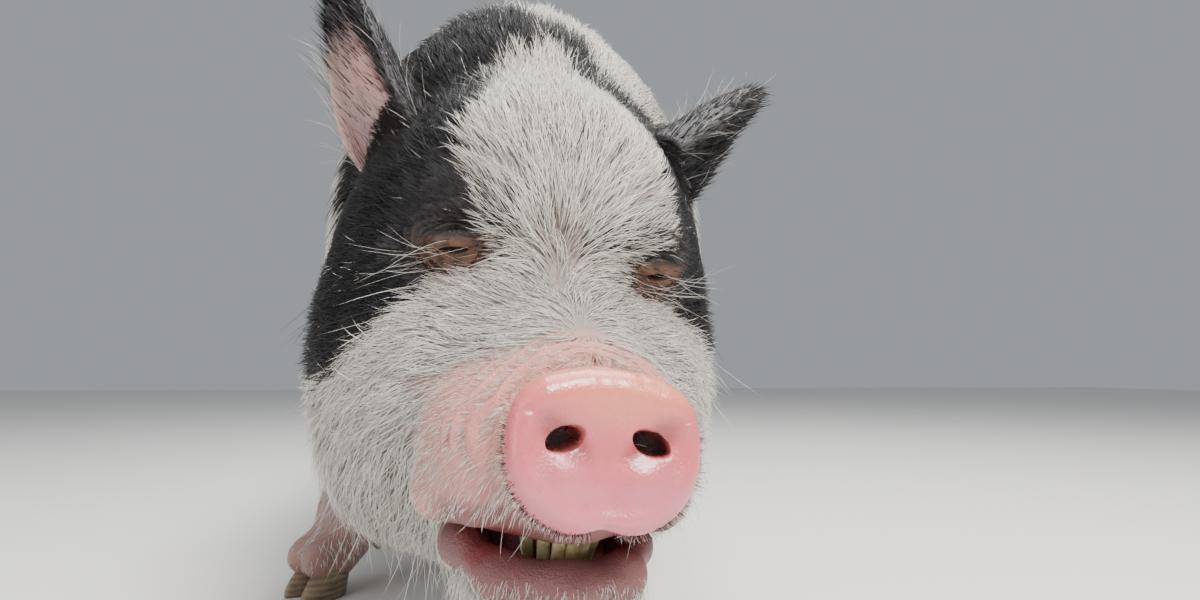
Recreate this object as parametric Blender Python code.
"""Pot-bellied pig, life size, standing with its head held low and forward.

Metres, +Z up. The pig faces -Y and its left side is +X. The four feet stand on z = 0, and the origin is the
middle of the floor under the whole animal. The flesh is one smooth body made of muscle masses that melt into each
other, which thin cuts part into head, jaw, neck, torso and legs. The snout disc, eyes, ears, claws and tail are
made apart and set on it.
"""

import math

import bmesh
import bpy
import numpy as np
from mathutils import Euler, Matrix, Vector
from mathutils.bvhtree import BVHTree

GAP = 0.0003
WELDS = 0.00004, 0.000006, 0.0000005, 0.0
SIDES = {"left": 1.0, "right": -1.0}

# The trunk, from the brisket to the rump.
BACK_HEIGHT = 0.448
WITHERS_HEIGHT = 0.460
RUMP_HEIGHT = 0.468
BELLY_CLEARANCE = 0.082
BELLY_HALF_WIDTH = 0.186
CHEST_HALF_WIDTH = 0.145
RUMP_HALF_WIDTH = 0.148
RUMP_END = 0.470

# The head's own frame: its middle between the jowls, turned to the pig's left and rolled a little.
HEAD_AT = Vector((0.006, -0.415, 0.228))
HEAD_YAW = math.radians(10.4)
HEAD_ROLL = math.radians(5)
HEAD_POSE = Matrix.Translation(HEAD_AT) @ Matrix.Rotation(HEAD_YAW, 4, "Z") @ Matrix.Rotation(HEAD_ROLL, 4, "Y")
BODY_POSE = Matrix.Identity(4)

# The middle of the floor under the pig, in the frame that all the places above and below are given in.
ORIGIN = Vector((0.0052, -0.0572, 0))

# Snout disc, eyes and mouth, in the head's frame.
DISC_AT = Vector((0, -0.205, -0.049))
DISC_HALF_WIDTH = 0.0415
DISC_HALF_HEIGHT = 0.0355
DISC_DEPTH = 0.017
DISC_PITCH = math.radians(-9)
NOSTRIL_SPREAD = 0.0175
NOSTRIL_DEPTH = 0.014
EYE_AT = Vector((0.064, -0.095, 0.046))
EYE_RADIUS = 0.0115
EYE_SUNK = 0.0018
LID_THICKNESS = 0.003
EYE_SLIT = 0.0065

CLAW_LENGTH = 0.046
CLAW_WIDTH = 0.0215
CLAW_HEIGHT = 0.030
CLAW_SIDES = 10

TEETH = 6
TOOTH_WIDTH = 0.0062
TOOTH_HEIGHT = 0.0125
TOOTH_ARCH = 0.021
TEETH_AT = Vector((-0.1515, -0.1045))

HEAD_VOXEL = 0.0042
BODY_VOXEL = 0.0085
FINE_BACK = -0.290
SETTLE_ROUNDS = 3


class Mass:
    """An ellipsoid of flesh, tilted in degrees, that melts into what is there over the length blend."""

    def __init__(self, at, radii, tilt=(0, 0, 0), blend=0.05, pose=BODY_POSE):
        turn = Euler([math.radians(a) for a in tilt]).to_matrix().to_4x4()
        place = pose @ Matrix.Translation(at) @ turn
        self.place = place @ Matrix.Diagonal((*radii, 1.0))
        self.centre = np.array(place.to_translation())
        self.axes = np.array(place.to_3x3().normalized())
        self.radii = np.array(radii)
        self.blend = blend

    def distance(self, points):
        local = (points - self.centre) @ self.axes
        near = np.linalg.norm(local / self.radii, axis=1)
        slope = np.linalg.norm(local / self.radii**2, axis=1)
        return near * (near - 1) / np.maximum(slope, 1e-9)

    def add_shape(self, shape):
        made = bmesh.ops.create_uvsphere(shape, u_segments=20, v_segments=12, radius=1.0)
        bmesh.ops.transform(shape, matrix=self.place, verts=made["verts"])


class Bone:
    """A round tapering length of limb between two points."""

    def __init__(self, start, end, start_radius, end_radius, blend=0.03, pose=BODY_POSE):
        self.start, self.end = np.array(pose @ Vector(start)), np.array(pose @ Vector(end))
        self.radii = start_radius, end_radius
        self.blend = blend

    def distance(self, points):
        along = self.end - self.start
        share = np.clip((points - self.start) @ along / (along @ along), 0, 1)
        middle = self.start + share[:, None] * along
        radius = self.radii[0] + (self.radii[1] - self.radii[0]) * share
        return np.linalg.norm(points - middle, axis=1) - radius

    def add_shape(self, shape):
        beads = max(2, round(np.linalg.norm(self.end - self.start) / min(self.radii) * 1.5))
        for i in range(beads + 1):
            share = i / beads
            radius = self.radii[0] + (self.radii[1] - self.radii[0]) * share
            middle = Vector(self.start + share * (self.end - self.start))
            bmesh.ops.create_uvsphere(shape, u_segments=14, v_segments=8, radius=radius,
                                      matrix=Matrix.Translation(middle))


def chain(stations, blend=0.03, pose=BODY_POSE):
    """Bones through stations of (point, radius)."""
    return [Bone(a, b, ra, rb, blend, pose) for (a, ra), (b, rb) in zip(stations, stations[1:])]


def mirrored(at, radii, tilt=(0, 0, 0), blend=0.03, pose=BODY_POSE):
    """The same mass on both sides; at and tilt are those of the left one."""
    x, y, z = at
    pitch, roll, yaw = tilt
    return [Mass((side * x, y, z), radii, (pitch, side * roll, side * yaw), blend, pose)
            for side in SIDES.values()]


def trunk():
    return [
        Mass((0, 0.095, BELLY_CLEARANCE + 0.165), (BELLY_HALF_WIDTH, 0.265, 0.165)),
        Mass((0, 0.090, BACK_HEIGHT - 0.130), (0.150, 0.300, 0.120), blend=0.10),
        Mass((0, -0.120, 0.310), (CHEST_HALF_WIDTH, 0.170, 0.155), blend=0.10),
        Mass((0, -0.150, WITHERS_HEIGHT - 0.115), (0.098, 0.150, 0.105), blend=0.08),
        Mass((0, RUMP_END - 0.160, RUMP_HEIGHT - 0.160), (RUMP_HALF_WIDTH, 0.155, 0.152), blend=0.08),
        Mass((0, -0.225, 0.235), (0.095, 0.095, 0.085), blend=0.06),
        *mirrored((0.086, -0.168, 0.262), (0.066, 0.085, 0.125), (12, 0, 0), 0.05),
        *mirrored((0.084, 0.325, 0.255), (0.082, 0.115, 0.140), (-8, 0, 0), 0.05),
    ]


def neck():
    return [
        *chain([((0, -0.150, 0.335), 0.135), ((0.004, -0.260, 0.320), 0.130), ((0.012, -0.350, 0.290), 0.114)], 0.08),
        Mass((0.002, -0.292, 0.402), (0.104, 0.122, 0.094), (-6, 0, 0), 0.08),
        Mass((0.010, -0.300, 0.215), (0.100, 0.085, 0.080), (0, 0, 0), 0.05),
    ]


# Each leg: its stations of (point, radius) from the shoulder or hip down, then the foot's place and heading.
LEGS = {
    "foreleg_left": ([((0.090, -0.165, 0.235), 0.060), ((0.101, -0.170, 0.165), 0.042), ((0.098, -0.170, 0.108), 0.031),
                      ((0.094, -0.168, 0.075), 0.0240), ((0.092, -0.175, 0.048), 0.0260)], (0.090, -0.200), 8),
    "foreleg_right": ([((-0.090, -0.165, 0.235), 0.060), ((-0.113, -0.168, 0.163), 0.042),
                       ((-0.139, -0.168, 0.108), 0.031), ((-0.155, -0.168, 0.075), 0.0240),
                       ((-0.163, -0.176, 0.048), 0.0260)], (-0.181, -0.194), -45),
    "hindleg_left": ([((0.092, 0.300, 0.250), 0.088), ((0.116, 0.262, 0.172), 0.058), ((0.116, 0.318, 0.126), 0.034),
                      ((0.114, 0.322, 0.085), 0.0255), ((0.113, 0.302, 0.050), 0.0275)], (0.112, 0.274), 10),
    "hindleg_right": ([((-0.092, 0.320, 0.250), 0.088), ((-0.114, 0.292, 0.172), 0.058),
                       ((-0.118, 0.362, 0.128), 0.034), ((-0.118, 0.370, 0.087), 0.0255),
                       ((-0.117, 0.352, 0.051), 0.0275)], (-0.116, 0.326), -8),
}


def foot_pose(leg):
    """The frame of a foot: on the floor under the coronet, its -Y towards the toes."""
    stations, (x, y), heading = LEGS[leg]
    return Matrix.Translation((x, y, 0)) @ Matrix.Rotation(math.radians(heading), 4, "Z")


def legs():
    bones = []
    for leg, (stations, place, heading) in LEGS.items():
        pose = foot_pose(leg)
        bones += chain(stations, 0.03)
        bones += mirrored((0.0125, 0.000, 0.037), (0.0125, 0.022, 0.018), (12, 0, 0), 0.012, pose)
        bones.append(Mass((0, 0.017, 0.030), (0.0185, 0.015, 0.021), blend=0.015, pose=pose))
    return bones


def head():
    """Broad forehead, short dished snout, heavy cheeks and jowls, and the lower jaw, in the head's frame."""
    pose = HEAD_POSE
    return [
        Mass((0, 0.010, 0.078), (0.094, 0.090, 0.092), blend=0.05, pose=pose),
        Mass((0, 0.025, -0.070), (0.092, 0.090, 0.072), blend=0.05, pose=pose),
        *mirrored((0.064, 0.008, -0.042), (0.059, 0.078, 0.082), (0, 0, 0), 0.04, pose),
        *mirrored((0.070, 0.034, 0.028), (0.060, 0.070, 0.088), (0, 0, 0), 0.04, pose),
        Mass((0, -0.032, 0.058), (0.080, 0.052, 0.092), (30, 0, 0), 0.05, pose),
        *chain([((0, -0.060, -0.018), 0.064), ((0, -0.110, -0.038), 0.049),
                ((0, -0.155, -0.051), 0.0385), ((0, -0.190, -0.055), 0.0320)], 0.025, pose),
        Mass((0, -0.105, -0.066), (0.046, 0.056, 0.028), (0, 0, 0), 0.03, pose),
        *mirrored((0.054, -0.052, -0.030), (0.046, 0.056, 0.056), (0, 0, 0), 0.03, pose),
        *mirrored((0.037, -0.128, -0.056), (0.032, 0.044, 0.036), (0, 0, 8), 0.02, pose),
        *mirrored((0.050, -0.076, 0.064), (0.028, 0.018, 0.013), (0, 18, 14), 0.025, pose),
        *lip(UPPER_LIP, 0.0095),
    ]


# The lips, from the corner of the mouth to the middle, in the head's frame.
UPPER_LIP = [(0.058, -0.092, -0.070), (0.058, -0.128, -0.081), (0.040, -0.158, -0.078), (0, -0.171, -0.072)]
LOWER_LIP = [(0.045, -0.086, -0.093), (0.044, -0.122, -0.106), (0.030, -0.151, -0.113), (0, -0.163, -0.1145)]


def lip(path, radius):
    """A rounded lip round the front of the mouth, from corner to corner."""
    return [bone for side in SIDES.values()
            for bone in chain([((side * x, y, z), radius) for x, y, z in path], 0.012, HEAD_POSE)]


def lower_jaw():
    """The chin and the lower lip, a body of its own that runs back into the throat."""
    return [
        *chain([((0, -0.020, -0.082), 0.058), ((0, -0.080, -0.104), 0.040), ((0, -0.128, -0.126), 0.021)], 0.03,
               HEAD_POSE),
        *lip(LOWER_LIP, 0.0085),
    ]


def flesh_distance(masses, points):
    """Signed distance from points to the melted masses, each blended in turn."""
    total = masses[0].distance(points)
    for mass in masses[1:]:
        other = mass.distance(points)
        overlap = np.maximum(mass.blend - np.abs(total - other), 0) / mass.blend
        total = np.minimum(total, other) - overlap**2 * mass.blend / 4
    return total


def field_slope(masses, points, step=0.0008):
    """How fast the distance grows along each axis at the points."""
    slope = np.empty_like(points)
    for axis in range(3):
        shift = np.zeros(3)
        shift[axis] = step
        slope[:, axis] = flesh_distance(masses, points + shift) - flesh_distance(masses, points - shift)
    return slope / (2 * step)


def settle(points, masses, level=0.0, rounds=1):
    """Moves points along the field's slope to where it equals level, at most 20 mm a round."""
    for _ in range(rounds):
        slope = field_slope(masses, points)
        length = np.maximum((slope**2).sum(axis=1), 0.2)
        move = slope * ((flesh_distance(masses, points) - level) / length)[:, None]
        size = np.linalg.norm(move, axis=1)
        points = points - move * np.minimum(1, 0.02 / np.maximum(size, 1e-9))[:, None]
    return points


# How far the coat's tips stand off the skin: a base, then places of (centre, reach, depth) where it is longer.
# The solid core reaches the first share of that depth.
CORE_SHARE = 0.4
BASE_COAT = 0.0015
COAT_PLACES = [
    ((0, 0.110, 0.430), (0.350, 0.540, 0.385), 0.013),
    ((0, -0.480, 0.335), (0.120, 0.070, 0.110), 0.010),
    ((0, -0.150, 0.520), (0.110, 0.420, 0.140), 0.034),
    ((0, -0.330, 0.300), (0.220, 0.100, 0.230), 0.022),
    ((0.125, -0.385, 0.170), (0.110, 0.110, 0.130), 0.022),
    ((-0.115, -0.385, 0.170), (0.110, 0.110, 0.130), 0.022),
    ((0.010, -0.350, 0.130), (0.130, 0.100, 0.080), 0.022),
    ((0.004, -0.390, 0.410), (0.110, 0.080, 0.100), 0.014),
]


def coat_depth(points):
    depth = np.full(len(points), BASE_COAT)
    for centre, reach, longest in COAT_PLACES:
        away = np.linalg.norm((points - np.array(centre)) / np.array(reach), axis=1)
        nearness = np.clip(1.25 - away, 0, 1)
        depth = np.maximum(depth, longest * nearness * nearness * (3 - 2 * nearness))
    return depth


# The coat fans out from the bridge of the nose, and lies back along the body behind FACE_END.
NOSE_BRIDGE = Vector((0, -0.190, -0.030))
FACE_END = -0.400


def unit(vectors):
    return vectors / np.maximum(np.linalg.norm(vectors, axis=1), 1e-9)[:, None]


def clothe(points, masses, share=CORE_SHARE):
    """Lifts points from the skin by this share of the coat's depth."""
    return points + unit(field_slope(masses, points, 0.002)) * (share * coat_depth(points))[:, None]


def lie_of_coat(points, normals):
    """Which way the coat lies: away from the nose over the face and cheeks, then back and down the body."""
    nose = np.array(HEAD_POSE @ NOSE_BRIDGE)
    low = np.clip((0.22 - points[:, 2]) / 0.12, 0, 1)[:, None]
    down = np.array((0, 0, -1.0))
    face = unit(points - nose) + 0.9 * low * down + np.array((0, 0.35, 0))
    flank = np.clip(np.abs(points[:, 0]) / BELLY_HALF_WIDTH, 0, 1)[:, None]
    rear = np.clip((points[:, 1] - RUMP_END + 0.11) / 0.08, 0, 1)[:, None]
    body = (1 - 0.9 * rear) * np.array((0, 1.0, 0)) + (0.9 * flank**2 + 1.2 * rear) * down
    behind_head = np.clip((points[:, 1] - FACE_END) / 0.06, 0, 1)[:, None]
    lie = face * (1 - behind_head) + body * behind_head
    return unit(lie - normals * (lie * normals).sum(axis=1)[:, None])


def add_mesh(name, mesh):
    obj = bpy.data.objects.new(name, mesh)
    bpy.context.scene.collection.objects.link(obj)
    return obj


def object_of(name, shape):
    """An object from a bmesh, which is freed."""
    bmesh.ops.recalc_face_normals(shape, faces=shape.faces)
    mesh = bpy.data.meshes.new(name)
    shape.to_mesh(mesh)
    shape.free()
    return add_mesh(name, mesh)


def discard(*objects):
    for obj in objects:
        bpy.data.objects.remove(obj, do_unlink=True)


def copy_of(obj, name="copy"):
    return add_mesh(name, obj.data.copy())


def bake_modifiers(obj):
    """Replaces the object's mesh by its evaluated one."""
    bpy.context.view_layer.update()
    graph = bpy.context.evaluated_depsgraph_get()
    mesh = bpy.data.meshes.new_from_object(obj.evaluated_get(graph))
    obj.modifiers.clear()
    obj.data = mesh
    return obj


def mesh_points(mesh):
    points = np.empty(len(mesh.vertices) * 3)
    mesh.vertices.foreach_get("co", points)
    return points.reshape(-1, 3)


def set_points(mesh, points):
    mesh.vertices.foreach_set("co", points.ravel())
    mesh.update()


def is_closed(mesh):
    shape = bmesh.new()
    shape.from_mesh(mesh)
    closed = len(shape.faces) > 0 and all(len(edge.link_faces) == 2 for edge in shape.edges)
    shape.free()
    return closed


def boolean(obj, operation, other):
    """Joins other to obj, cuts it away or keeps what they share; other is discarded."""
    before = obj.data
    for solver in ("EXACT", "MANIFOLD"):
        obj.data = before
        change = obj.modifiers.new("change", "BOOLEAN")
        change.operation = operation
        change.solver = solver
        change.object = other
        bake_modifiers(obj)
        if is_closed(obj.data):
            break
    discard(other)
    return obj


def keep_largest(obj):
    """Welds slivers as widely as leaves it closed, and keeps only the largest surface, in triangles."""
    before = obj.data
    for weld in WELDS:
        obj.data = before.copy()
        drop_scraps(obj.data, weld)
        if is_closed(obj.data):
            break
    return obj


def drop_scraps(mesh, weld):
    """Welds points this close, triangulates, and deletes all but the surface with the most faces."""
    shape = bmesh.new()
    shape.from_mesh(mesh)
    if weld > 0:
        bmesh.ops.remove_doubles(shape, verts=shape.verts, dist=weld)
        bmesh.ops.dissolve_degenerate(shape, edges=shape.edges, dist=weld)
    bmesh.ops.triangulate(shape, faces=shape.faces)
    left = set(shape.faces)
    groups = []
    while left:
        group, edge = set(), [left.pop()]
        while edge:
            face = edge.pop()
            group.add(face)
            near = [f for e in face.edges for f in e.link_faces if f in left]
            left.difference_update(near)
            edge += near
        groups.append(group)
    largest = max(groups, key=len)
    bmesh.ops.delete(shape, geom=[f for g in groups if g is not largest for f in g], context="FACES")
    shape.to_mesh(mesh)
    shape.free()


def grown(obj, by=GAP):
    """A copy of obj with its points moved outwards, to cut a clear gap round it."""
    bigger = copy_of(obj, "grown")
    normals = np.empty(len(bigger.data.vertices) * 3)
    bigger.data.vertex_normals.foreach_get("vector", normals)
    set_points(bigger.data, mesh_points(bigger.data) + by * normals.reshape(-1, 3))
    return bigger


def melted(masses, voxel, pieces, back=0.8):
    """The pieces as one closed skin, settled on the field of all the masses as far as the plane y = back."""
    shape = bmesh.new()
    for mass in pieces:
        mass.add_shape(shape)
    skin = object_of("skin", shape)
    remesh = skin.modifiers.new("melt", "REMESH")
    remesh.mode = "VOXEL"
    remesh.voxel_size = voxel
    bake_modifiers(skin)
    for _ in range(SETTLE_ROUNDS):
        points = mesh_points(skin.data)
        ahead = points[:, 1] < back
        points[ahead] = settle(points[ahead], masses)
        set_points(skin.data, points)
        soften = skin.modifiers.new("soften", "SMOOTH")
        soften.factor = 0.5
        soften.iterations = 4
        bake_modifiers(skin)
    return skin


def thinned(skin, share, masses, back=0.8):
    """A copy of the skin with this share of its triangles, settled again and lifted to the coat's core."""
    thin = copy_of(skin, "thin")
    fewer = thin.modifiers.new("fewer", "DECIMATE")
    fewer.ratio = share
    fewer.use_collapse_triangulate = True
    bake_modifiers(thin)
    points = mesh_points(thin.data)
    ahead = points[:, 1] < back
    points[ahead] = clothe(settle(points[ahead], masses, rounds=2), masses)
    set_points(thin.data, points)
    return thin


def prism(outline, low, high, grow=0.0, pose=BODY_POSE):
    """An outline of (y, z) points run along X from low to high, grown all round by grow."""
    points = [Vector(p) for p in outline]
    if sum(a.x * b.y - a.y * b.x for a, b in zip(points, points[1:] + points[:1])) < 0:
        points.reverse()
    wider = []
    for before, here, after in zip(points[-1:] + points[:-1], points, points[1:] + points[:1]):
        into, out = (here - before).normalized(), (after - here).normalized()
        corner = Vector((into.y, -into.x)) + Vector((out.y, -out.x))
        wider.append(here + corner * (2 * grow / corner.length_squared))
    shape = bmesh.new()
    ends = [[shape.verts.new(pose @ Vector((x, *p))) for p in wider] for x in (low - grow, high + grow)]
    for k, n in zip(range(len(wider)), [*range(1, len(wider)), 0]):
        shape.faces.new((ends[0][k], ends[0][n], ends[1][n], ends[1][k]))
    shape.faces.new(ends[0])
    shape.faces.new(ends[1])
    return object_of("prism", shape)


def loft(name, rings, pose=BODY_POSE):
    """Closed skin through rings of points; a ring of one point is a tip, and an open end ring is capped."""
    shape = bmesh.new()
    made = [[shape.verts.new(pose @ Vector(p)) for p in ring] for ring in rings]
    for low, high in zip(made, made[1:]):
        for k in range(max(len(low), len(high))):
            n = (k + 1) % max(len(low), len(high))
            corners = [low[k % len(low)], low[n % len(low)], high[n % len(high)], high[k % len(high)]]
            shape.faces.new(list(dict.fromkeys(corners)))
    for end in (made[0], made[-1]):
        if len(end) > 2:
            shape.faces.new(end)
    bmesh.ops.triangulate(shape, faces=shape.faces)
    return object_of(name, shape)


def ball(name, at, radii, turn=(0, 0, 0), pose=BODY_POSE, segments=16):
    shape = bmesh.new()
    place = Matrix.Translation(at) @ Euler([math.radians(a) for a in turn]).to_matrix().to_4x4()
    bmesh.ops.create_uvsphere(shape, u_segments=segments, v_segments=segments // 2, radius=1,
                              matrix=pose @ place @ Matrix.Diagonal((*radii, 1)))
    return object_of(name, shape)


# Where the cuts run, as (y, z) of the body or of the head.
NECK_CUT = [(-0.180, 0.60), (-0.180, 0.46), (-0.262, 0.200), (-0.282, 0.160), (-0.282, 0.108), (-0.345, 0.100),
            (-0.345, -0.05)]
HEAD_CUT = [(-0.335, 0.60), (-0.335, 0.42), (-0.350, 0.24), (-0.330, 0.165), (-0.322, 0.105), (-0.322, -0.05)]
FAR = 0.8


def ahead_of(cut, grow=0.0):
    return prism([*cut, (-FAR, -0.05), (-FAR, 0.60)], -FAR, FAR, grow)


def behind(cut, grow=0.0):
    return prism([*cut, (FAR, -0.05), (FAR, 0.60)], -FAR, FAR, grow)


# A leg is parted from the trunk by a plane that rises outwards, between two planes across the body.
LEG_BLOCKS = {
    "foreleg": {"y": (-0.340, -0.122), "inner": (0.030, 0.165), "outer": (0.230, 0.300)},
    "hindleg": {"y": (0.212, 0.520), "inner": (0.026, 0.180), "outer": (0.230, 0.330)},
}


def leg_block(leg, grow=0.0):
    kind, side = leg.split("_")
    block = LEG_BLOCKS[kind]
    (y0, y1), (x0, z0), (x1, z1) = block["y"], block["inner"], block["outer"]
    lean = math.hypot(x1 - x0, z1 - z0)
    z0, z1 = z0 + grow * lean / (x1 - x0), z1 + grow * lean / (x1 - x0)
    corners = [(x0 - grow, -0.05), (x0 - grow, z0), (x1, z1), (x1, -0.05)]
    rings = [[(SIDES[side] * x, y, z) for x, z in corners] for y in (y0 - grow, y1 + grow)]
    return loft("block", rings)


def oval(half_width, half_height, count=20, power=2.3):
    """Points round a squarish oval in the XZ plane."""
    points = []
    for k in range(count):
        c, s = math.cos(math.tau * k / count), math.sin(math.tau * k / count)
        size = (abs(c)**power + abs(s)**power)**(-1 / power)
        points.append((half_width * size * c, half_height * size * s))
    return points


def make_teeth():
    """Lower incisors in a shallow arch, leaning forward, rooted in the jaw behind the lower lip."""
    teeth = []
    for k in range(TEETH):
        across = (k - (TEETH - 1) / 2) * TOOTH_WIDTH
        at = Vector((across, TEETH_AT.x + across**2 / TOOTH_ARCH, TEETH_AT.y))
        rings = []
        for share, up in ((0.45, -TOOTH_HEIGHT * 0.8), (0.42, TOOTH_HEIGHT * 0.6), (0.36, TOOTH_HEIGHT)):
            half, deep = TOOTH_WIDTH * share, TOOTH_WIDTH * share * 0.7
            rings.append([(at.x + x, at.y + y - up * 0.3, at.z + up)
                          for x, y in ((-half, -deep), (half, -deep), (half, deep), (-half, deep))])
        teeth.append(loft("tooth", rings, HEAD_POSE))
    return teeth


DISC_POSE = HEAD_POSE @ Matrix.Translation(DISC_AT) @ Matrix.Rotation(DISC_PITCH, 4, "X")


def disc_rings(grow=0.0):
    """Share of the disc's size and depth behind its face, from its back to the face's middle."""
    profile = [(0.90, DISC_DEPTH), (1.00, DISC_DEPTH * 0.62), (1.00, DISC_DEPTH * 0.28), (0.93, DISC_DEPTH * 0.07),
               (0.80, 0.0), (0.40, 0.0012)]
    rings = []
    for share, back in profile:
        ring = oval(DISC_HALF_WIDTH * share + grow, DISC_HALF_HEIGHT * share + grow)
        rings.append([(x, back, z - 0.10 * abs(z) * (z > 0)) for x, z in ring])
    return rings + [[(0, 0.0015, 0)]]


def snout_disc():
    disc = loft("snout_disc", disc_rings(), DISC_POSE)
    for side in SIDES.values():
        at = (side * NOSTRIL_SPREAD, -0.001, 0.002)
        hole = ball("hole", at, (0.0085, NOSTRIL_DEPTH, 0.0050), (0, side * 27, side * -14), DISC_POSE, 12)
        boolean(disc, "DIFFERENCE", hole)
    return keep_largest(disc)


def disc_seat():
    """The space in front of the snout's cut end, wider than the disc, with the disc's back as its floor."""
    corners = [(-0.1, -0.1), (0.1, -0.1), (0.1, 0.1), (-0.1, 0.1)]
    return [[(x, DISC_DEPTH + GAP, z) for x, z in corners], [(x, -0.1, z) for x, z in corners]]


def eye_pose(side, masses):
    """The eye's frame, sunk into the skin at its place, its -Y looking out and forward."""
    start = HEAD_POSE @ Vector((side * EYE_AT.x, EYE_AT.y, EYE_AT.z))
    at = settle(np.array([start]), masses, -EYE_RADIUS + EYE_SUNK, rounds=4)
    out = -Vector(field_slope(masses, at, 0.004)[0])
    turn = out.to_track_quat("Y", "Z").to_matrix().to_4x4()
    return Matrix.Translation(Vector(at[0])) @ turn


def lens(width, height, depth, pose):
    """An almond-shaped cutter between two arcs, run along -Y."""
    across = [width * (k / 6 - 0.5) for k in range(1, 6)]
    arch = [(x, height / 2 * (1 - (2 * x / width)**2)) for x in across]
    outline = [(-width / 2, 0), *arch, (width / 2, 0), *[(x, -z * 0.7) for x, z in reversed(arch)]]
    return loft("lens", [[(x, y, z) for x, z in outline] for y in (0.0, -depth)], pose)


def add_lids(head_node, side, masses):
    """Lids as a thick fold over the eyeball, open in a narrow slit, with the ball's seat behind them."""
    pose = eye_pose(side, masses)
    outer = EYE_RADIUS + LID_THICKNESS
    boolean(head_node, "UNION", ball("lid", (0, 0, 0), (outer * 1.35, outer, outer * 0.86), (0, 0, 0), pose, 14))
    boolean(head_node, "DIFFERENCE", ball("seat", (0, 0, 0), [EYE_RADIUS + GAP] * 3, (0, 0, 0), pose, 12))
    boolean(head_node, "DIFFERENCE", lens(EYE_RADIUS * 1.75, EYE_SLIT, outer * 1.6, pose))


def make_eye(name, side, masses):
    return ball(name, (0, 0, 0), [EYE_RADIUS] * 3, (0, 0, 0), eye_pose(side, masses), 12)


# An ear's sections from root to tip: distance along it, half width, and how far its rims curl forward.
EAR_SECTIONS = [(-0.034, 0.034, 0.70), (-0.010, 0.040, 0.67), (0.022, 0.044, 0.60), (0.050, 0.042, 0.51),
                (0.076, 0.035, 0.42), (0.098, 0.023, 0.32), (0.115, 0.010, 0.20)]
EAR_THICKNESS = 0.0042
EAR_ACROSS = 9


def make_ear(name, side, at, tilt, twist, sweep):
    """A cupped leaf of skin, open to the front, whose rims curl in towards the root."""
    turn = Euler([math.radians(a) for a in tilt]).to_matrix().to_4x4()
    mirror = Matrix.Diagonal((side, 1, 1, 1))
    twist = math.radians(twist)
    pose = HEAD_POSE @ mirror @ Matrix.Translation(at) @ turn @ Matrix.Rotation(twist, 4, "Z")
    rings = []
    for along, half_width, curl in EAR_SECTIONS:
        thick = EAR_THICKNESS * (1 - 0.62 * along / EAR_SECTIONS[-1][0])
        back, front = [], []
        for k in range(EAR_ACROSS):
            share = 2 * k / (EAR_ACROSS - 1) - 1
            angle = share * math.pi * curl * 0.78
            radius = half_width / max(math.sin(min(math.pi * curl * 0.78, math.pi / 2)), 0.3)
            lean = 0.10 * along
            aside = sweep * (max(along, 0) / EAR_SECTIONS[-1][0])**2
            for row, r in ((back, radius), (front, radius - thick)):
                depth = radius / 2 - r * math.cos(angle) - lean - aside * math.sin(twist)
                row.append((r * math.sin(angle) - aside * math.cos(twist), depth, along))
        rings.append([(x, -y, z) for x, y, z in back + front[::-1]])
    tip = np.array(rings[-1]).mean(axis=0) + np.array((0, 0, 0.007))
    return loft(name, [*rings, [tuple(tip)]], pose)


EARS = {
    "left": ((0.116, 0.020, 0.163), (-12, 58, 0), 60, 0.0),
    "right": ((0.100, 0.033, 0.148), (0, 48, 0), 62, 0.022),
}


def claw_ring(share, height, back, inward):
    """A claw's outline at one height: round at the heel, narrow at the toe, flat on its inner side."""
    ring = []
    for k in range(CLAW_SIDES):
        c, s = math.cos(math.tau * k / CLAW_SIDES), math.sin(math.tau * k / CLAW_SIDES)
        narrow = 1 - 0.38 * max(0.0, c)**2
        flat = 0.62 if s * inward > 0 else 1.0
        ring.append((s * narrow * flat * share * CLAW_WIDTH * 0.62, -c * share * CLAW_LENGTH / 2 + back, height))
    return ring


def make_claw(name, leg, side):
    """A horn claw with a flat sole, leaning back to the coronet; side is its place in the foot."""
    rings = [claw_ring(0.96, 0.0, 0.0, -side), claw_ring(1.0, 0.004, 0.0, -side),
             claw_ring(0.93, CLAW_HEIGHT * 0.55, 0.004, -side), claw_ring(0.74, CLAW_HEIGHT, 0.010, -side)]
    spread = Matrix.Translation((side * 0.0128, 0, 0)) @ Matrix.Rotation(math.radians(side * 5), 4, "Z")
    return loft(name, rings, foot_pose(leg) @ spread)


def make_dewclaw(name, leg, side):
    """A small horn claw hanging behind the fetlock, clear of the floor."""
    pose = foot_pose(leg)
    fetlock, radius = LEGS[leg][0][-1]
    at = pose.inverted() @ Vector(fetlock) + Vector((side * 0.0145, radius * 0.80, 0.006))
    rings = []
    for share, along in ((1.0, 0.0), (0.80, 0.015)):
        rings.append([(0.0065 * share * math.cos(math.tau * k / 6), 0.0055 * share * math.sin(math.tau * k / 6),
                       -along) for k in range(6)])
    lean = Euler((math.radians(24), math.radians(-side * 12), 0)).to_matrix().to_4x4()
    return loft(name, [*rings, [(0, 0, -0.0225)]], pose @ Matrix.Translation(at) @ lean)


TAIL = [((0.000, 0.440, 0.428), 0.017), ((0.002, 0.470, 0.414), 0.015), ((0.005, 0.490, 0.386), 0.013),
        ((0.008, 0.499, 0.345), 0.011), ((0.010, 0.501, 0.300), 0.0085), ((0.010, 0.499, 0.255), 0.006)]
TUFT_LOCKS = 7
TUFT_LENGTH = 0.075
TUFT_STATIONS = [(-0.15, 0.0028, 0.0010), (0.15, 0.0088, 0.0035), (0.60, 0.0108, 0.0038)]


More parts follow.
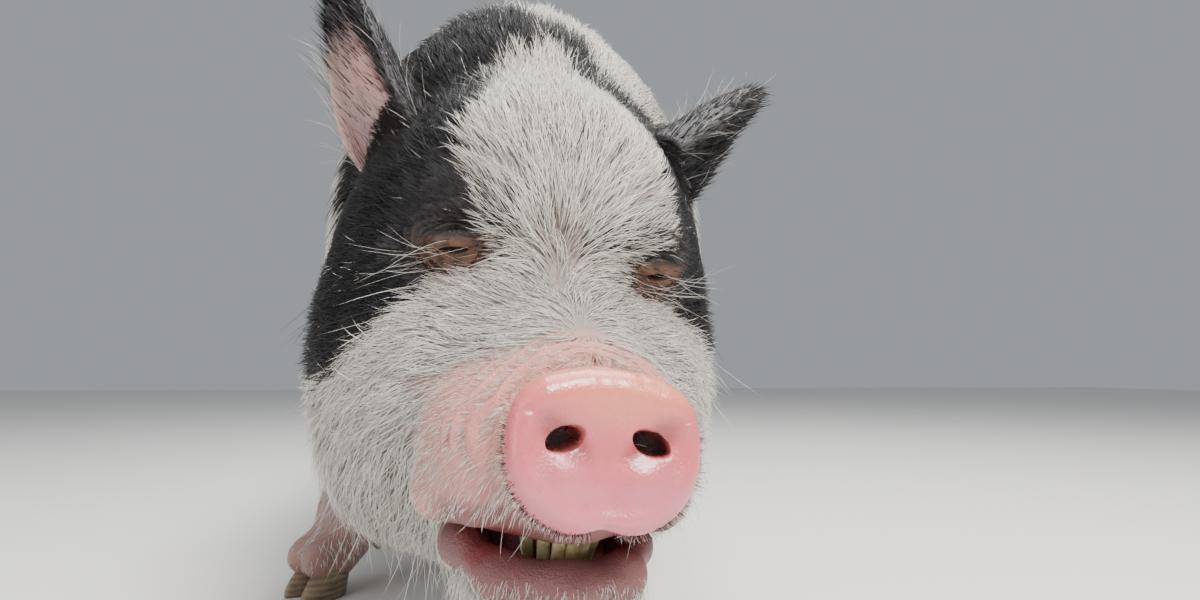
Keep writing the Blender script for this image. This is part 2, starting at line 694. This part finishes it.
def tube_rings(stations, count=10):
    """Rings of points square to a path of (point, radius)."""
    points = [Vector(at) for at, radius in stations]
    rings = []
    for k, (at, radius) in enumerate(stations):
        along = points[min(k + 1, len(points) - 1)] - points[max(k - 1, 0)]
        turn = along.to_track_quat("Z", "X")
        rings.append([Vector(at) + turn @ Vector((radius * math.cos(math.tau * i / count),
                                                  radius * math.sin(math.tau * i / count), 0)) for i in range(count)])
    return rings


def make_tail():
    """A straight hanging tail that tapers to its end."""
    return loft("tail", tube_rings(TAIL, 8))


def make_tuft():
    """Flat tapered locks that spread from the tail's end and close again at their tips."""
    end = Vector(TAIL[-1][0])
    locks = []
    for k in range(TUFT_LOCKS):
        angle = math.tau * k / TUFT_LOCKS
        out = Vector((math.cos(angle), math.sin(angle), 0))
        across = Vector((-out.y, out.x, 0))
        length = TUFT_LENGTH * (1 - 0.18 * (k % 3) / 2)
        rings = []
        for share, spread, half in TUFT_STATIONS:
            middle = end + out * spread - Vector((0, 0, share * length))
            rings.append([middle - across * half - out * 0.001, middle + across * half - out * 0.001,
                          middle + out * 0.0016])
        locks.append(loft("lock", [*rings, [end + out * 0.007 - Vector((0, 0, length))]]))
    return locks


class LockStyle:
    """How a node's locks are: size, how many at most, and how far apart their roots are."""

    def __init__(self, length, width, thickness, spacing, most):
        self.length, self.width, self.thickness = length, width, thickness
        self.spacing, self.most = spacing, most


HEAD_LOCKS = LockStyle(0.060, 0.0225, 0.0028, 0.0225, 106)
NECK_LOCKS = LockStyle(0.080, 0.036, 0.0034, 0.0310, 44)
TORSO_LOCKS = LockStyle(0.115, 0.054, 0.0040, 0.0540, 84)
LOCK_STATIONS = [(0.00, 0.60, 0.8), (0.28, 1.00, 1.0), (0.68, 0.78, 0.8)]
ROOT_SUNK = 0.005
UNDERSIDE_CLEAR = 0.0012
LOCK_COAT = 0.006
LOCK_CLEARANCE = 0.0008
LOCK_SAMPLES = 2500
PROBE = Vector((0.31, 0.17, 0.94)).normalized()
PROBE_STEP = 0.00001


def surface_samples(obj, count, rng):
    """Points spread evenly over an object's faces."""
    triangles = np.array([[obj.data.vertices[v].co for v in face.vertices] for face in obj.data.polygons])
    edge_a, edge_b = triangles[:, 1] - triangles[:, 0], triangles[:, 2] - triangles[:, 0]
    area = np.linalg.norm(np.cross(edge_a, edge_b), axis=1)
    chosen = rng.choice(len(triangles), count, p=area / area.sum())
    u, v = rng.random((2, count))
    flip = u + v > 1
    u, v = np.where(flip, 1 - u, u), np.where(flip, 1 - v, v)
    return triangles[chosen, 0] + u[:, None] * edge_a[chosen] + v[:, None] * edge_b[chosen]


def lock_roots(node, masses, style, wanted, rng):
    """Roots on the node's coat, spread apart, where wanted says that the coat is long."""
    points = surface_samples(node, LOCK_SAMPLES, rng)
    points = points[wanted(points) & (coat_depth(points) > LOCK_COAT)]
    off_cut = np.abs(flesh_distance(masses, points) - CORE_SHARE * coat_depth(points)) < 0.004
    points = points[off_cut]
    roots = []
    for point in points:
        if len(roots) < style.most and all(np.linalg.norm(point - r) > style.spacing for r in roots):
            roots.append(point)
    return np.array(roots)


def make_locks(roots, masses, style, rng):
    """Flat tapered blades that bend along the lie of the coat, from a sunk root up to the coat's full depth."""
    count = len(roots)
    sway = rng.uniform(-0.30, 0.30, count)
    size = rng.uniform(0.85, 1.15, count)
    at = settle(roots, masses, rounds=2)
    rings, before = [], 0.0
    for share, wide, thick in [*LOCK_STATIONS, (1.0, 0.0, 0.0)]:
        normal = unit(field_slope(masses, at, 0.002))
        along = lie_of_coat(at, normal)
        across = np.cross(normal, along)
        along = unit(along + across * (sway * (0.4 + share))[:, None])
        if share > before:
            at = settle(at + along * (style.length * size * (share - before))[:, None], masses, rounds=2)
            normal = unit(field_slope(masses, at, 0.002))
            across = np.cross(normal, unit(along - normal * (along * normal).sum(axis=1)[:, None]))
        before = share
        core, full = CORE_SHARE * coat_depth(at), coat_depth(at)
        lowest = core + UNDERSIDE_CLEAR + style.thickness * thick / 2
        height = lowest + np.maximum(full - lowest, 0.002) * share**1.3
        if share == 0:
            height = core - ROOT_SUNK
        centre = at + normal * height[:, None]
        half = across * (style.width * size * wide / 2)[:, None]
        lift = normal * style.thickness * thick / 2
        if share == 1.0:
            rings.append([centre])
        else:
            rings.append([centre - half - lift, centre + half - lift, centre + lift])
    return [loft("lock", [[corner[i] for corner in ring] for ring in rings]) for i in range(count)]


def fuse(obj, pieces):
    """Unites the pieces with the object in one Boolean."""
    gathered = bpy.data.collections.new("gathered")
    for piece in pieces:
        gathered.objects.link(piece)
    before = obj.data
    for solver in ("EXACT", "MANIFOLD"):
        obj.data = before
        union = obj.modifiers.new("fuse", "BOOLEAN")
        union.operation = "UNION"
        union.operand_type = "COLLECTION"
        union.collection = gathered
        union.solver = solver
        bake_modifiers(obj)
        if is_closed(obj.data):
            break
    discard(*pieces)
    bpy.data.collections.remove(gathered)
    return obj


def tree_of(obj):
    return BVHTree.FromObject(obj, bpy.context.evaluated_depsgraph_get())


def inside(point, tree):
    """Whether a point lies in a closed surface: a ray from it then crosses the surface an odd number of times."""
    crossings = 0
    place = tree.ray_cast(point, PROBE)[0]
    while place is not None:
        crossings += 1
        place = tree.ray_cast(place + PROBE * PROBE_STEP, PROBE)[0]
    return crossings % 2 == 1


def meets(lock, tree):
    """Whether a lock crosses a closed surface, lies inside it or comes close to it."""
    places = [vertex.co for vertex in lock.data.vertices]
    if min(tree.find_nearest(place)[3] for place in places) < LOCK_CLEARANCE:
        return True
    return len(tree_of(lock).overlap(tree)) > 0 or inside(places[0], tree)


def grow_locks(node, masses, style, wanted, seed, others=()):
    """Fuses a coat of locks with the node, leaving out any that would come near another node."""
    rng = np.random.default_rng(seed)
    roots = lock_roots(node, masses, style, wanted, rng)
    locks = make_locks(roots, masses, style, rng)
    trees = [tree_of(other) for other in others]
    kept = []
    for lock in locks:
        if any(meets(lock, tree) for tree in trees):
            discard(lock)
        else:
            kept.append(lock)
    return fuse(node, kept)


def paint(obj, colour, roughness):
    material = bpy.data.materials.new(obj.name)
    material.use_nodes = True
    principled = material.node_tree.nodes["Principled BSDF"]
    principled.inputs["Base Color"].default_value = (*colour, 1)
    principled.inputs["Roughness"].default_value = roughness
    obj.data.materials.clear()
    obj.data.materials.append(material)
    obj.data.shade_smooth()
    return obj


def finish(obj, name, colour, roughness):
    obj.name = obj.data.name = name
    return paint(keep_largest(obj), colour, roughness)


BLACK_COAT = (0.03, 0.03, 0.035)
WHITE_COAT = (0.75, 0.72, 0.68)
PINK_SKIN = (0.72, 0.42, 0.38)
HORN = (0.42, 0.30, 0.18)
EYE_BROWN = (0.05, 0.03, 0.02)


def main():
    for obj in list(bpy.data.objects):
        bpy.data.objects.remove(obj, do_unlink=True)
    face, rest = head(), trunk() + legs()
    nape = neck()
    masses = rest + nape + face

    fine = melted(masses, HEAD_VOXEL, face + nape, FINE_BACK)
    coarse = melted(masses, BODY_VOXEL, masses)
    head_flesh = thinned(fine, 0.040, masses, FINE_BACK)
    neck_flesh = thinned(coarse, 0.040, masses)
    leg_flesh = thinned(coarse, 0.058, masses)
    discard(fine, coarse)

    face_node = boolean(head_flesh, "INTERSECT", ahead_of(HEAD_CUT, -GAP / 2))
    bare = copy_of(face_node)
    boolean(face_node, "DIFFERENCE", loft("seat", disc_seat(), DISC_POSE))
    for side in SIDES.values():
        add_lids(face_node, side, masses)
    chin = lower_jaw()
    chin_skin = melted(chin, HEAD_VOXEL, chin)
    jaw = fuse(thinned(chin_skin, 0.040, chin), make_teeth())
    discard(chin_skin)
    finish(boolean(jaw, "DIFFERENCE", grown(bare)), "jaw", PINK_SKIN, 0.6)
    paint(snout_disc(), PINK_SKIN, 0.35)
    collar = boolean(copy_of(neck_flesh), "INTERSECT", behind(HEAD_CUT, -GAP / 2))
    boolean(collar, "INTERSECT", ahead_of(NECK_CUT, -GAP / 2))
    torso = boolean(neck_flesh, "INTERSECT", behind(NECK_CUT, -GAP / 2))
    ears = []
    for name, side in SIDES.items():
        paint(make_eye("eye_" + name, side, masses), EYE_BROWN, 0.1)
        ear = boolean(make_ear("ear_" + name, side, *EARS[name]), "DIFFERENCE", grown(bare))
        boolean(ear, "DIFFERENCE", grown(collar))
        ears.append(finish(ear, "ear_" + name, BLACK_COAT, 0.8))

    for leg in LEGS:
        boolean(torso, "DIFFERENCE", leg_block(leg, GAP))
    tail = boolean(fuse(make_tail(), make_tuft()), "DIFFERENCE", grown(torso))
    finish(tail, "tail", BLACK_COAT, 0.8)

    limbs = {}
    for leg in LEGS:
        limb = boolean(copy_of(leg_flesh), "INTERSECT", leg_block(leg))
        if leg.startswith("foreleg"):
            boolean(limb, "INTERSECT", behind(NECK_CUT, -GAP / 2))
        limbs[leg] = finish(limb, leg, WHITE_COAT, 0.7)

    keep_largest(torso)
    keep_largest(collar)
    keep_largest(face_node)
    apart = [*limbs.values(), tail, *ears, jaw]
    grow_locks(face_node, masses, HEAD_LOCKS, lambda p: p[:, 1] > -0.52, 1, [*apart, collar, torso])
    grow_locks(collar, masses, NECK_LOCKS, lambda p: p[:, 1] > -0.300, 2, [*apart, face_node, torso])
    grow_locks(torso, masses, TORSO_LOCKS, lambda p: (p[:, 1] > -0.155) | (p[:, 2] < 0.3), 3,
               [*apart, face_node, collar])
    finish(face_node, "head", WHITE_COAT, 0.8)
    finish(collar, "neck", WHITE_COAT, 0.8)
    finish(torso, "torso", WHITE_COAT, 0.8)

    for leg, limb in limbs.items():
        foot = leg.replace("leg", "")
        for place, side in {"left": 1, "right": -1}.items():
            for kind, make in (("claw", make_claw), ("dewclaw", make_dewclaw)):
                name = f"{foot}_{kind}_{place}"
                horn = boolean(make(name, leg, side), "DIFFERENCE", grown(limb))
                finish(horn, name, HORN, 0.5)
    discard(leg_flesh, bare)
    for obj in bpy.data.objects:
        obj.data.transform(Matrix.Translation(-ORIGIN))


main()
